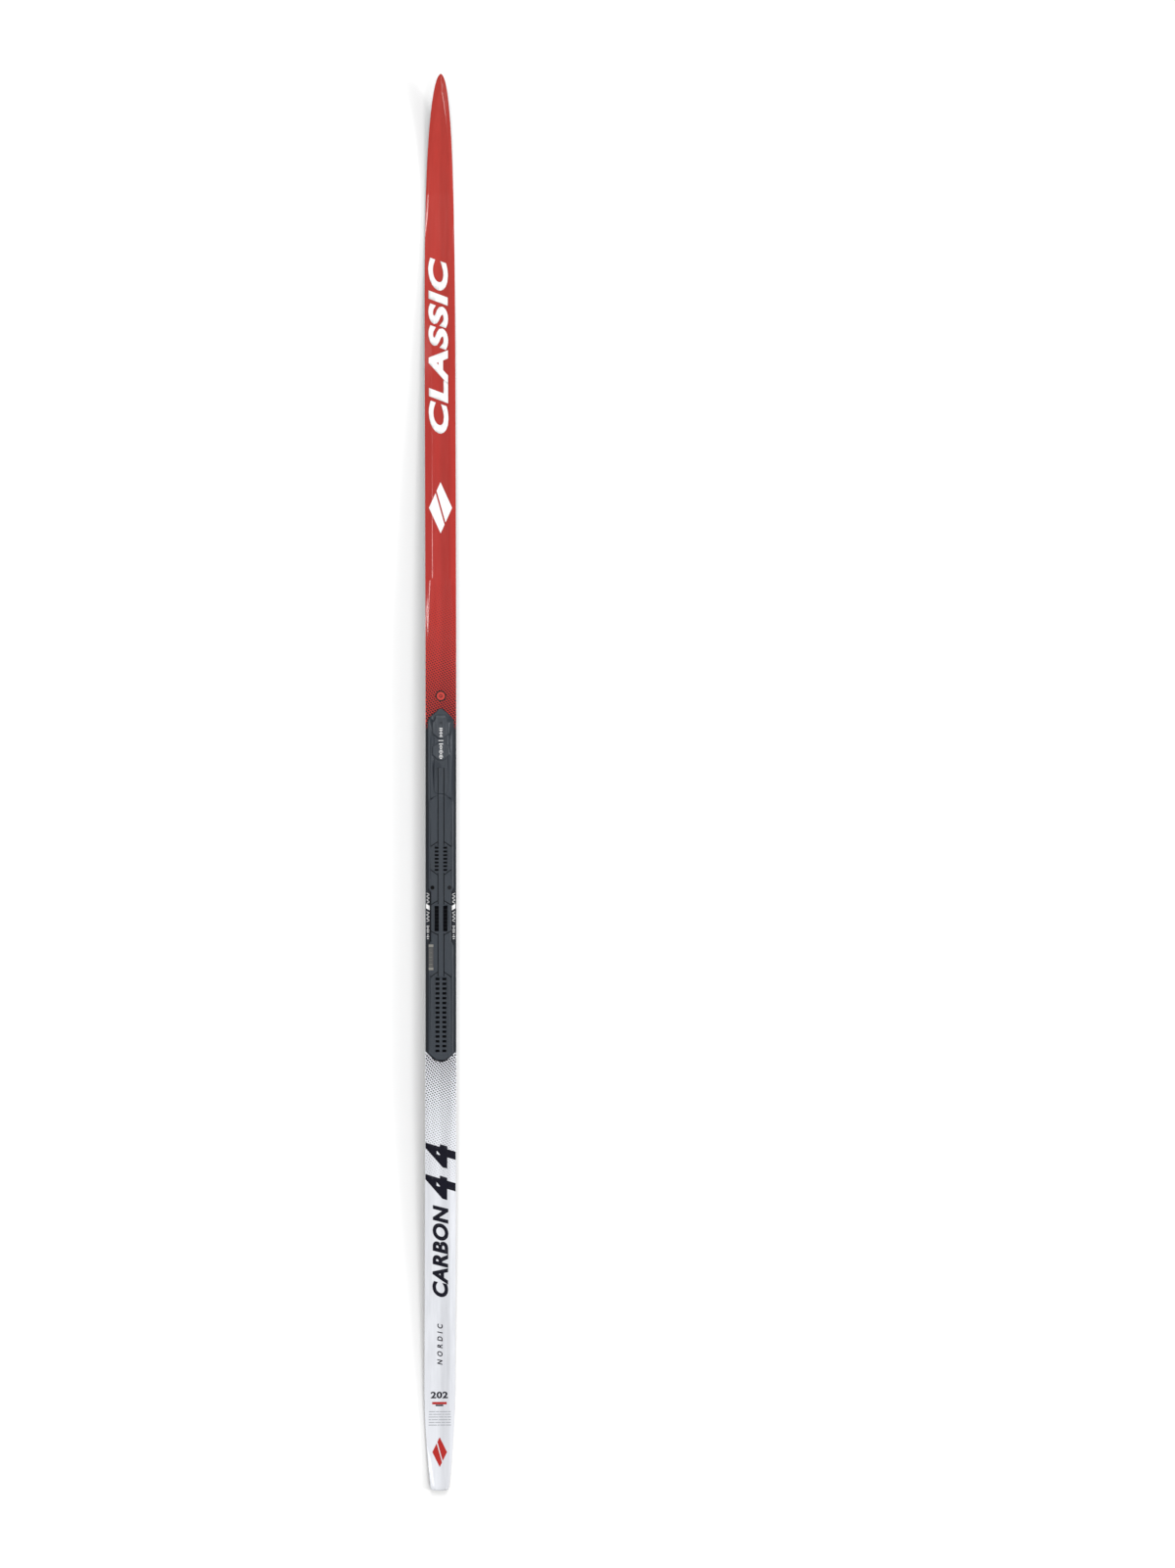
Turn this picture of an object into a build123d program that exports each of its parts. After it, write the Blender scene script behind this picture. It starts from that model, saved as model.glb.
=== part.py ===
from build123d import *
import os
from math import sqrt

# A cross country racing ski for classic technique, lying on its running base.
# +Y runs to the tip, +X to the right, +Z up. The origin is the middle of the
# ski's length, at the height of the surface that the base touches.

# ---- the ski's outer form --------------------------------------------------
LENGTH = 2020.0
HALF_WIDTH = 22.0            # 44 mm from the shovel to the tail
TIP_Y = LENGTH / 2
TAIL_Y = -LENGTH / 2

TIP_OUTLINE = 550.0          # distance over which the tip outline widens
TIP_OUTLINE_POWER = 4.3
TIP_ROUND_POWER = 2.1
TIP_BLUNT = 0.45             # where the first section stands behind the very end
TAIL_TAPER = 140.0           # distance over which the tail narrows
TAIL_NARROW = 9.5            # how much half of the tail narrows
TAIL_TAPER_POWER = 1.7
TAIL_CORNER = 5.0

FRONT_CONTACT = TIP_Y - 230.0
REAR_CONTACT = TAIL_Y + 90.0
TIP_RISE = 40.0
TIP_RISE_POWER = 2.6
TAIL_RISE = 6.0
CAMBER = 20.0
CAMBER_SHAPE = (4.0, 1.8)

TOP_HEIGHT = 46.0            # the flat top under the binding plate
FLAT_FRONT = 140.0
FLAT_REAR = -410.0
FRONT_THICKNESS = 7.5
TIP_THICKNESS = 6.5
REAR_THICKNESS = 8.0
TAIL_THICKNESS = 7.0
TAIL_ROUND = 8.0             # length of the rounded top edge at the tail
TAIL_ROUND_DROP = 2.4

# The top is flat in the middle and bevelled to both edges, with a crease between.
CREASE = 12.0
BEVEL_DROP = 2.2
RIM_MIN = 3.4                # the crease never comes closer to the edge than this
STEP_OUT = 15.5              # the front crease jumps out to here before it fades
STEP_DROP = 1.43             # keeps the bevel's slope after the jump
CREASE_IN = (780.0, 650.0)   # runs along the ski, each from its front to its rear
BEVEL_IN = (700.0, 540.0)
STEP = (292.0, 289.0)
FRONT_FADE = (289.0, 220.0)
REAR_BEVEL = (-405.0, -531.0)
REAR_FADE = (-650.0, -830.0)
REAR_CREASE_OUT = (-830.0, -890.0)
TIP_RIM = 9.0
TIP_RIM_LENGTH = 230.0
TIP_RIM_DROP = 1.7
TIP_FLAT_SHARE = 0.22        # least share of the tip's width that stays flat
TAIL_RIM_LENGTH = 75.0
TAIL_RIM = 5.0
TAIL_RIM_DROP = 0.9

# ---- the layers ------------------------------------------------------------
BASE = 1.2
LOWER_LAMINATE = 0.8
WRAP = 0.4
TAPE = 0.5
UPPER_LAMINATE = 0.7
TOPSHEET = 0.6
SIDEWALL = 2.4
REINFORCEMENT = 1.5
REINFORCED = (-400.0, 110.0)

CORE_FRONT = TIP_Y - 170.0
CORE_REAR = TAIL_Y + 60.0

GROOVE_HALF = 4.0            # running groove along the base
GROOVE_FLOOR_HALF = 3.2
GROOVE_DEPTH = 0.7
GROOVE_FRONT = FRONT_CONTACT - 20.0
GROOVE_RUN_OUT = 40.0

# ---- pieces on and under the top -------------------------------------------
BADGE_Y = 124.3
BADGE_RADIUS = 7.7
BADGE_THICKNESS = 0.3
TAG_RADIUS = 6.0
TAG_THICKNESS = 0.4

ADHESIVE = 0.3
ADHESIVE_MARGIN = 1.5
ADHESIVE_HOLE_MARGIN = 0.6
PLATE_FRONT = 106.3
PLATE_REAR = -396.4
PLATE_HALF = 18.7
PLATE_WAIST_HALF = 15.3
WAIST = (-149.0, -155.0, -225.0, -231.0)     # where the waist narrows and widens again
PLATE_SLAB = 2.6             # heights of the plate's levels over its underside
SHELF = 3.1
DECK = 3.5
RAIL = 3.8
LOBE = 5.0
PLATE_EDGE_CHAMFER = 0.8
STEP_CHAMFER = (0.85, 0.32)  # width and depth along the upper edges of the levels
LOBE_CHAMFER = (1.7, 0.8)
DECK_HALF = 17.8
DECK_WAIST_HALF = 14.4
PANEL_LINE_X = 15.0
CENTRE_GROOVE = (3.6, 4.8)
CENTRE_GROOVE_FLOOR = 1.5
CENTRE_GROOVE_RUNS = ((22.0, -89.0), (-127.0, -172.5), (-213.5, -275.0))
CHEVRONS = ((-83.1, -90.2), (-130.7, -122.6), (-167.0, -173.4), (-216.0, -210.0), (-268.4, -276.0))
CHEVRON_WIDTH = 1.3
CHEVRON_FLOOR = 2.5
SLOT_FLOOR = 0.7
SLOT_ROUND = 0.7
WELLS = ((-88.8, -126.2, 9.6), (-172.6, -212.6, 9.6), (-275.6, -384.0, 8.6))   # front, rear, half width
WELL_FLOOR = 2.9
FRONT_RACK = (-91.8, 7, 5.24, 3.2, 8.9, 2.9)     # first slot, count, pitch, inner and outer X, slot length
REAR_RACK = (-278.6, 16, 6.82, 2.0, 7.7, 3.6)
LADDER = (-174.6, -210.6, 3.0, 9.1)              # front, rear, inner and outer X
LADDER_RUNGS = 6
RUNG_WIDTH = 1.5
RUNG_TOP = 1.9
OPEN_TOP = LOBE + 1.0        # cutters reach up to here
SCREW_HOLE_X = 12.15
SCREW_HOLE_Y = -148.5
SCREW_HOLE_R = 2.9
FRONT_HOLE_Y = 86.0
FRONT_HOLE_R = 2.2
FRONT_HOLE_DEPTH = 2.5
LABEL_X = -14.2
LABEL_SIZE = (6.8, 36.5, 0.12)
LABEL_Y = -247.6


def eased(s):
    """0 to 1 with a flat start and a flat end."""
    s = min(max(s, 0.0), 1.0)
    return 1 - (1 - s ** 1.6) ** 1.4


def mix(a, b, s):
    s = min(max(s, 0.0), 1.0)
    return a + (b - a) * s


def half_width(y):
    to_tip = max(TIP_Y - y, TIP_BLUNT)
    to_tail = y - TAIL_Y
    if to_tip < TIP_OUTLINE:
        left = 1 - to_tip / TIP_OUTLINE
        return HALF_WIDTH * (1 - left ** TIP_OUTLINE_POWER) ** (1 / TIP_ROUND_POWER)
    if to_tail >= TAIL_TAPER:
        return HALF_WIDTH
    at_tail = max(to_tail, TAIL_CORNER)
    half = HALF_WIDTH - TAIL_NARROW * (1 - at_tail / TAIL_TAPER) ** TAIL_TAPER_POWER
    if to_tail < TAIL_CORNER:
        inset = TAIL_CORNER - to_tail
        half -= TAIL_CORNER - sqrt(TAIL_CORNER ** 2 - inset ** 2)
    return half


def base_height(y):
    """Underside of the running base: camber between the contacts, raised ends."""
    if y > FRONT_CONTACT:
        return TIP_RISE * ((y - FRONT_CONTACT) / (TIP_Y - FRONT_CONTACT)) ** TIP_RISE_POWER
    if y < REAR_CONTACT:
        return TAIL_RISE * ((REAR_CONTACT - y) / (REAR_CONTACT - TAIL_Y)) ** 2
    middle = (FRONT_CONTACT + REAR_CONTACT) / 2
    u = abs(y - middle) / (FRONT_CONTACT - middle)
    inner, outer = CAMBER_SHAPE
    return CAMBER * (1 - u ** inner) ** outer


def top_height(y):
    """Top of the topsheet between the creases."""
    if FLAT_REAR <= y <= FLAT_FRONT:
        return TOP_HEIGHT
    if y > FLAT_FRONT:
        start = TOP_HEIGHT - base_height(FLAT_FRONT)
        thick = mix(start, FRONT_THICKNESS, eased((y - FLAT_FRONT) / (FRONT_CONTACT - FLAT_FRONT)))
        if y > FRONT_CONTACT:
            thick = mix(FRONT_THICKNESS, TIP_THICKNESS, (y - FRONT_CONTACT) / (TIP_Y - FRONT_CONTACT))
    else:
        start = TOP_HEIGHT - base_height(FLAT_REAR)
        thick = mix(start, REAR_THICKNESS, eased((FLAT_REAR - y) / (FLAT_REAR - REAR_CONTACT)))
        if y < REAR_CONTACT:
            thick = mix(REAR_THICKNESS, TAIL_THICKNESS, (REAR_CONTACT - y) / (REAR_CONTACT - TAIL_Y))
        inset = max(TAIL_ROUND - (y - TAIL_Y), 0.0) / TAIL_ROUND
        thick -= TAIL_ROUND_DROP * (1 - sqrt(1 - inset ** 2))
    return base_height(y) + thick


def along(y, run):
    """How far y has come through a run, from 0 at its front to 1 at its rear."""
    return min(max((run[0] - y) / (run[0] - run[1]), 0.0), 1.0)


def crease(y):
    """Half-width of the flat between the creases, and how far the edge lies below it."""
    half = half_width(y)
    widest = half - RIM_MIN
    to_tip = TIP_Y - y
    to_tail = y - TAIL_Y
    if to_tip < TIP_RIM_LENGTH:
        s = 1 - to_tip / TIP_RIM_LENGTH
        rim = max(TIP_RIM * s ** 1.3, RIM_MIN)
        return max(half - rim, TIP_FLAT_SHARE * half), TIP_RIM_DROP * s ** 0.7
    if y > STEP[0]:
        return mix(widest, CREASE, along(y, CREASE_IN)), BEVEL_DROP * eased(along(y, BEVEL_IN))
    if y > STEP[1]:
        s = along(y, STEP)
        return mix(CREASE, STEP_OUT, s), mix(BEVEL_DROP, STEP_DROP, s)
    if y > FRONT_FADE[1]:
        s = along(y, FRONT_FADE)
        return mix(STEP_OUT, widest, s), STEP_DROP * (1 - s)
    if y > REAR_FADE[1]:
        s = along(y, REAR_BEVEL)
        return mix(widest, CREASE, s), BEVEL_DROP * s * (1 - eased(along(y, REAR_FADE)))
    if to_tail > TAIL_RIM_LENGTH:
        return mix(CREASE, widest, along(y, REAR_CREASE_OUT)), 0.0
    s = 1 - to_tail / TAIL_RIM_LENGTH
    return half - mix(RIM_MIN, TAIL_RIM, s), TAIL_RIM_DROP * s


PLATE_STATIONS = (80.0, 0.0, -100.0, -180.0, -260.0, -340.0)
TAIL_STATIONS = (0.02, 0.08, 0.2, 0.4, 0.65, 1.0)     # shares of the tail corner
STATION_GAP = 0.09


def stations(rear, front):
    """Section places from rear to front: close together at the ends and the creases."""
    ys = [TIP_Y - TIP_RIM_LENGTH * (k / 14) ** 2.1 for k in range(1, 15)]
    ys += [TIP_Y, TIP_Y - TIP_BLUNT]
    ys += [TAIL_Y + TAIL_TAPER * (k / 9) ** 2.0 for k in range(10)]
    ys += [TAIL_Y + TAIL_CORNER * k for k in TAIL_STATIONS]
    ys += [FRONT_CONTACT - 32.0 * k for k in range(1, 16)]
    ys += [FLAT_FRONT + 20.0 * k for k in range(5)]
    ys += [*STEP, FLAT_FRONT, FLAT_REAR, REAR_BEVEL[0], CORE_FRONT, CORE_REAR, REAR_CONTACT]
    ys += PLATE_STATIONS
    ys += [FLAT_REAR - 30.25 * k for k in range(1, 5)]
    ys += [REAR_BEVEL[1] - 33.0 * k for k in range(10)]
    ys += [rear, front]
    kept = []
    for y in sorted(y for y in ys if rear <= y <= front):
        if not kept or y - kept[-1] > STATION_GAP:
            kept.append(y)
    return kept


def lofted(section, rear, front):
    """A solid through section(y) polygons, with flat strips from one to the next."""
    faces = []
    for y in stations(rear, front):
        points = [Vector(x, y, z) for x, z in section(y)]
        faces.append(Face(Wire.make_polygon(points, close=True)))
    return loft(faces, ruled=True)


def surface(y, depth, reach):
    """Points from left to right, depth below the top, out to reach on both sides."""
    at, drop = crease(y)
    top = top_height(y) - depth
    edge = top - drop * (reach - at) / (half_width(y) - at)
    return [(-reach, edge), (-at, top), (at, top), (reach, edge)]


def floor_line(y, height, reach):
    low = base_height(y) + height
    return [(reach, low), (-reach, low)]


def band(upper, lower, reach):
    """Section between two depths below the top."""
    def section(y):
        return surface(y, upper, reach(y)) + surface(y, lower, reach(y))[::-1]
    return section


def filling(depth, height, reach):
    """Section from a height above the base's underside up to a depth below the top."""
    def section(y):
        return surface(y, depth, reach(y)) + floor_line(y, height, reach(y))
    return section


def inside_walls(y):
    return half_width(y) - SIDEWALL


def inside_wrap(y):
    return half_width(y) - SIDEWALL - WRAP


SKIN = TOPSHEET + UPPER_LAMINATE
SOLE = BASE + LOWER_LAMINATE


def running_base():
    def section(y):
        half, low = half_width(y), base_height(y)
        return [(-half, low), (half, low), (half, low + BASE), (-half, low + BASE)]

    def groove(y):
        low = base_height(y)
        depth = GROOVE_DEPTH * min((GROOVE_FRONT - y) / GROOVE_RUN_OUT, 1.0)
        under = low - 0.5
        return [(-GROOVE_HALF, under), (GROOVE_HALF, under), (GROOVE_HALF, low),
                (GROOVE_FLOOR_HALF, low + depth), (-GROOVE_FLOOR_HALF, low + depth), (-GROOVE_HALF, low)]
    whole = lofted(section, TAIL_Y, TIP_Y)
    return whole - lofted(groove, TAIL_Y, GROOVE_FRONT - 1.0)


def lower_laminate():
    def section(y):
        half, low = half_width(y), base_height(y)
        return [(-half, low + BASE), (half, low + BASE), (half, low + SOLE), (-half, low + SOLE)]
    return lofted(section, TAIL_Y, TIP_Y)


def sidewall(side):
    def section(y):
        points = surface(y, SKIN, half_width(y))
        at, top = points[2]
        edge_z = points[3][1]
        inner = inside_walls(y)
        inner_z = mix(top, edge_z, (inner - at) / (half_width(y) - at))
        low = base_height(y) + SOLE
        outline = [(inner, low), (half_width(y), low), (half_width(y), edge_z), (inner, inner_z)]
        return [(side * x, z) for x, z in outline]
    return lofted(section, CORE_REAR, CORE_FRONT)


def torsion_wrap():
    outer = lofted(filling(SKIN, SOLE, inside_walls), CORE_REAR, CORE_FRONT)
    inner = lofted(filling(SKIN + WRAP, SOLE + WRAP, inside_wrap), CORE_REAR, CORE_FRONT)
    return outer - inner


def upper_carbon_tape():
    return lofted(band(SKIN + WRAP, SKIN + WRAP + TAPE, inside_wrap), CORE_REAR, CORE_FRONT)


def lower_carbon_tape():
    def section(y):
        reach, low = inside_wrap(y), base_height(y) + SOLE + WRAP
        return [(-reach, low), (reach, low), (reach, low + TAPE), (-reach, low + TAPE)]
    return lofted(section, CORE_REAR, CORE_FRONT)


def reinforcement_block(half):
    rear, front = REINFORCED
    top = TOP_HEIGHT - SKIN - WRAP - TAPE
    middle = (0, (rear + front) / 2, top - REINFORCEMENT / 2)
    return Pos(*middle) * Box(2 * half, front - rear, REINFORCEMENT)


def foam_core():
    filled = lofted(filling(SKIN + WRAP + TAPE, SOLE + WRAP + TAPE, inside_wrap), CORE_REAR, CORE_FRONT)
    return filled - reinforcement_block(2 * HALF_WIDTH)


def binding_reinforcement():
    return reinforcement_block(HALF_WIDTH - SIDEWALL - WRAP)


def end_insert(rear, front):
    return lofted(filling(SKIN, SOLE, half_width), rear, front)


def radio_tag():
    low = TOP_HEIGHT - TOPSHEET - TAG_THICKNESS
    return Pos(0, BADGE_Y, low) * extrude(Circle(TAG_RADIUS), TAG_THICKNESS)


def upper_laminate():
    return lofted(band(TOPSHEET, SKIN, half_width), TAIL_Y, TIP_Y) - radio_tag()


def topsheet():
    return lofted(band(0.0, TOPSHEET, half_width), TAIL_Y, TIP_Y)


def round_badge():
    disc = extrude(Circle(BADGE_RADIUS), BADGE_THICKNESS)
    disc = chamfer(disc.faces().sort_by(Axis.Z)[-1].edges(), 0.15)
    return Pos(0, BADGE_Y, TOP_HEIGHT) * disc


# ---- the binding plate, in its own height from its underside ---------------
def both_sides(points):
    """A closed outline from its right half, listed from front to rear."""
    return points + [(-x, y) for x, y in reversed(points) if x > 0]


def prism(points, low, high):
    outline = make_face(Polyline(*points, close=True))
    return Pos(0, 0, low) * extrude(outline, high - low)


def strip(start, end, width, low, high):
    """A straight cutter between two points, with square ends."""
    run = Vector(*end) - Vector(*start)
    middle = (Vector(*start) + Vector(*end)) / 2
    bar = Box(run.length, width, high - low, align=(Align.CENTER, Align.CENTER, Align.MIN))
    turn = Vector(1, 0).get_signed_angle(run, Vector(0, 0, 1))
    return Pos(middle.X, middle.Y, low) * Rot(0, 0, turn) * bar


def chamfered_prism(points, high, size):
    """A prism from the slab's top up to a height, with a slope of this width and depth all round."""
    solid = prism(points, PLATE_SLAB, high)
    top = solid.faces().sort_by(Axis.Z)[-1]
    wide, deep = size
    return chamfer(top.edges(), wide, deep, reference=top)


def plate_outline(margin=0.0):
    half, waist = PLATE_HALF - margin, PLATE_WAIST_HALF - margin
    nose = PLATE_FRONT - margin
    return both_sides([(2.2, nose), (12.2 - 0.6 * margin, nose - 8.7), (16.2 - 0.8 * margin, nose - 12.3),
                       (half, nose - 17.8), (half, WAIST[0]), (waist, WAIST[1]), (waist, WAIST[2]),
                       (half, WAIST[3]), (half, -384.8 + 0.4 * margin),
                       (13.0 - 0.6 * margin, -390.2 + 0.8 * margin), (7.0 - 0.4 * margin, -394.8 + 0.9 * margin),
                       (2.5, PLATE_REAR + margin)])


def plate_body():
    slab = prism(plate_outline(), 0.0, PLATE_SLAB)
    slab = chamfer(slab.faces().sort_by(Axis.Z)[-1].edges(), PLATE_EDGE_CHAMFER)
    deck = [(4.8, -16.5), (DECK_HALF, -25.6), (DECK_HALF, -149.2), (DECK_WAIST_HALF, -155.4),
            (DECK_WAIST_HALF, -224.6), (DECK_HALF, -230.8), (DECK_HALF, -384.2), (12.3, -389.3), (6.5, -393.8)]
    shelf = [(8.0, 72.0), (PANEL_LINE_X, 66.0), (PANEL_LINE_X, -22.6), (4.8, -15.6)]
    rail = [(6.0, 97.5), (10.2, 93.5), (10.2, -12.0), (5.2, -15.2)]
    front_lobe = [(7.5, 95.5), (10.4, 89.0), (13.0, 86.5), (13.0, 70.6), (3.4, 62.8)]
    rear_lobe = [(3.4, 58.8), (13.0, 52.7), (13.0, 40.5), (4.5, 32.7)]
    steps = [chamfered_prism(both_sides(points), high, STEP_CHAMFER)
             for points, high in ((deck, DECK), (shelf, SHELF), (rail, RAIL))]
    steps += [chamfered_prism(both_sides(points), LOBE, LOBE_CHAMFER) for points in (front_lobe, rear_lobe)]
    return slab + steps


def chevron(apex_y, outer_y):
    """A V-shaped groove pair from the centre grooves out to the panel lines."""
    inner = CENTRE_GROOVE[1] - 0.6
    cutters = []
    for side in (-1, 1):
        ends = (side * inner, apex_y), (side * PANEL_LINE_X, outer_y)
        cutters.append(strip(*ends, CHEVRON_WIDTH, CHEVRON_FLOOR, OPEN_TOP))
    return cutters


def paired_slots(first_y, count, pitch, inner, outer, height):
    cutters = []
    for k in range(count):
        for side in (-1, 1):
            slot = extrude(RectangleRounded(outer - inner, height, SLOT_ROUND), OPEN_TOP - SLOT_FLOOR)
            cutters.append(Pos(side * (inner + outer) / 2, first_y - k * pitch, SLOT_FLOOR) * slot)
    return cutters


def centre_grooves():
    inner, outer = CENTRE_GROOVE
    middle, width = (inner + outer) / 2, outer - inner
    return [strip((side * middle, front), (side * middle, rear), width, CENTRE_GROOVE_FLOOR, OPEN_TOP)
            for front, rear in CENTRE_GROOVE_RUNS for side in (-1, 1)]


def rack_wells():
    """Three toothed racks: pairs of slots, a ladder over deep wells, and a long comb."""
    cutters = []
    for front, rear, half in WELLS:
        corners = [(-half, front), (half, front), (half, rear), (-half, rear)]
        cutters.append(prism(corners, WELL_FLOOR, OPEN_TOP))
    cutters += paired_slots(*FRONT_RACK)
    cutters += paired_slots(*REAR_RACK)
    front, rear, inner, outer = LADDER
    for side in (-1, 1):
        near, far = sorted((side * inner, side * outer))
        cutters.append(prism([(near, front), (far, front), (far, rear), (near, rear)], SLOT_FLOOR, OPEN_TOP))
    return cutters


def ladder_rungs():
    front, rear, inner, outer = LADDER
    pitch = (front - rear) / (LADDER_RUNGS + 1)
    rungs = []
    for k in range(1, LADDER_RUNGS + 1):
        y = front - k * pitch
        for side in (-1, 1):
            ends = (side * (inner - 0.2), y), (side * (outer + 0.2), y)
            rungs.append(strip(*ends, RUNG_WIDTH, SLOT_FLOOR - 0.2, RUNG_TOP))
    return rungs


def plate_fine_lines():
    """Shallow panel lines, the tick on the right and the frame lines beside the racks."""
    lines = [((12.0, -55.5), (5.6, -55.5), 0.6)]
    for side in (-1, 1):
        lines += [((side * 9.7, -277.0), (side * 9.7, -386.0), 0.5),
                  ((side * 11.0, -96.0), (side * 11.0, -121.0), 0.5),
                  ((side * 11.0, -180.0), (side * 11.0, -206.0), 0.5),
                  ((side * PANEL_LINE_X, -24.0), (side * PANEL_LINE_X, -147.0), 0.6),
                  ((side * PANEL_LINE_X, -268.5), (side * PANEL_LINE_X, -382.0), 0.6),
                  ((side * 16.8, -280.0), (side * 16.8, -380.0), 0.4)]
    return [strip(start, end, width, DECK - 0.5, DECK + 1) for start, end, width in lines]


def round_hole(x, y, radius, low, high):
    return Pos(x, y, low) * extrude(Circle(radius), high - low)


def binding_plate():
    plate = plate_body()
    cutters = centre_grooves() + rack_wells() + plate_fine_lines()
    for ends in CHEVRONS:
        cutters += chevron(*ends)
    for side in (-1, 1):
        cutters.append(round_hole(side * SCREW_HOLE_X, SCREW_HOLE_Y, SCREW_HOLE_R, -1.0, OPEN_TOP))
    cutters.append(round_hole(0.0, FRONT_HOLE_Y, FRONT_HOLE_R, LOBE - FRONT_HOLE_DEPTH, OPEN_TOP))
    plate = plate - cutters + ladder_rungs()
    return Pos(0, 0, TOP_HEIGHT + ADHESIVE) * plate


def plate_adhesive():
    film = prism(plate_outline(ADHESIVE_MARGIN), 0.0, ADHESIVE)
    for side in (-1, 1):
        film -= round_hole(side * SCREW_HOLE_X, SCREW_HOLE_Y, SCREW_HOLE_R + ADHESIVE_HOLE_MARGIN, -1.0, 1.0)
    return Pos(0, 0, TOP_HEIGHT) * film


def plate_label():
    wide, long, thick = LABEL_SIZE
    low = TOP_HEIGHT + ADHESIVE + DECK
    return Pos(LABEL_X, LABEL_Y, low + thick / 2) * Box(wide, long, thick)


PIECES = {
    "running_base": running_base,
    "lower_laminate": lower_laminate,
    "sidewall_left": lambda: sidewall(-1),
    "sidewall_right": lambda: sidewall(1),
    "torsion_wrap": torsion_wrap,
    "lower_carbon_tape": lower_carbon_tape,
    "foam_core": foam_core,
    "binding_reinforcement": binding_reinforcement,
    "upper_carbon_tape": upper_carbon_tape,
    "tip_insert": lambda: end_insert(CORE_FRONT, TIP_Y),
    "tail_insert": lambda: end_insert(TAIL_Y, CORE_REAR),
    "upper_laminate": upper_laminate,
    "radio_tag": radio_tag,
    "topsheet": topsheet,
    "round_badge": round_badge,
    "plate_adhesive": plate_adhesive,
    "binding_plate": binding_plate,
    "plate_label": plate_label,
}

os.makedirs("parts", exist_ok=True)
for name, make in PIECES.items():
    export_step(make(), f"parts/{name}.step")
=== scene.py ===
from math import pi, radians, tau

import bpy
import numpy as np
from bpy.props import FloatProperty, FloatVectorProperty, PointerProperty
from bpy.types import Operator, Panel, PropertyGroup
from mathutils import Matrix, Vector


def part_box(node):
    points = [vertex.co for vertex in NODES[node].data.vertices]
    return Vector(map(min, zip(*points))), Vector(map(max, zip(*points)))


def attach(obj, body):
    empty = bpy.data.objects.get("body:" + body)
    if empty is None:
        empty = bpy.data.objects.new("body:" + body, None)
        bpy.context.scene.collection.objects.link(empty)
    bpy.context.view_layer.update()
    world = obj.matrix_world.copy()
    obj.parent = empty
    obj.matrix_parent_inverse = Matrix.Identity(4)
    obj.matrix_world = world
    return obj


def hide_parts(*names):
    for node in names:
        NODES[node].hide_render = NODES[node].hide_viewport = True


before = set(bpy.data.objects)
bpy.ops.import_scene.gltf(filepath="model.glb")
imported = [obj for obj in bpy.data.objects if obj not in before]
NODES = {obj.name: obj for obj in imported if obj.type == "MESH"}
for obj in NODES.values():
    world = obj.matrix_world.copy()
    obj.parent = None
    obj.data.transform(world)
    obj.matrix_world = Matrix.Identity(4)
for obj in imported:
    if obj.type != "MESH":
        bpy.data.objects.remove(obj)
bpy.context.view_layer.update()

bl_info = {
    "name": "Cross country ski",
    "version": (1, 0, 0),
    "blender": (4, 5, 0),
    "location": "View3D > Sidebar > Ski",
    "description": "Finishes a laminated classic ski: print, sidewalls, base, binding plate and marks",
    "category": "Object",
}

MM = 0.001                               # metres
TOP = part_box("plate_adhesive")[0].z      # flat top under the plate
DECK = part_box("plate_label")[0].z        # the plate's top face, where a binding rests
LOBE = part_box("binding_plate")[1].z      # the plate's highest faces
HALF_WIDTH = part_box("topsheet")[1].x
PLATE_LOW, PLATE_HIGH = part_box("binding_plate")
LABEL_LOW, LABEL_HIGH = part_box("plate_label")
BADGE_LOW, BADGE_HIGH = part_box("round_badge")
BADGE_Y = (BADGE_LOW.y + BADGE_HIGH.y) / 2
MERGE = 1e-6                 # metres between corners that are one
SHALLOW_CREASE = 5.0         # degrees between faces from which a crease is rounded
SHARP_RIM = 40.0             # degrees from which an edge is the rim
CREASE_END = 0.985           # metres along the ski, beyond which creases stay as they are
NEARLY_FLAT = 2.0            # degrees between triangles that are one face
CELL = (4.0, 8.0)            # mm across and along between the cuts that let a print follow the top
ABOVE_SKI = 0.3              # metres, a height from which shapes are dropped onto the top
PRINT = "printed_topsheet"


# ---- settings --------------------------------------------------------------
def colour(name, note, value):
    return FloatVectorProperty(name=name, description=note, subtype="COLOR", size=3, min=0, max=1,
                               default=value)


def length(name, note, value_mm):
    return FloatProperty(name=name, description=note, unit="LENGTH", min=0, default=value_mm * MM)


class SkiColours(PropertyGroup):
    """Colours of the print, the plastics and the plate."""
    # The tip red is painted light: the red made lighter where light falls on the rising tip.
    tip_red: colour("Tip red", "Topsheet at the tip", (0.450, 0.036, 0.026))
    red: colour("Red", "Topsheet between the tip and the plate", (0.400, 0.026, 0.020))
    black: colour("Black", "Topsheet beside the plate", (0.012, 0.015, 0.021))
    white: colour("White", "Topsheet behind the plate", (0.690, 0.705, 0.745))
    ink_white: colour("White ink", "Marks on the red and the black", (0.84, 0.84, 0.84))
    ink_navy: colour("Navy ink", "Marks on the white tail", (0.007, 0.007, 0.014))
    ink_black: colour("Black ink", "Halftone dots", (0.012, 0.009, 0.012))
    ink_red: colour("Red ink", "Tail mark", (0.40, 0.022, 0.018))
    ink_grey: colour("Grey ink", "Small print lines", (0.30, 0.31, 0.34))
    plastic_white: colour("Sidewall white", "Sidewalls and end inserts", (0.76, 0.77, 0.78))
    plate: colour("Plate black", "Moulded binding plate", (0.005, 0.009, 0.016))
    base: colour("Base black", "Running base", (0.020, 0.020, 0.023))


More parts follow.
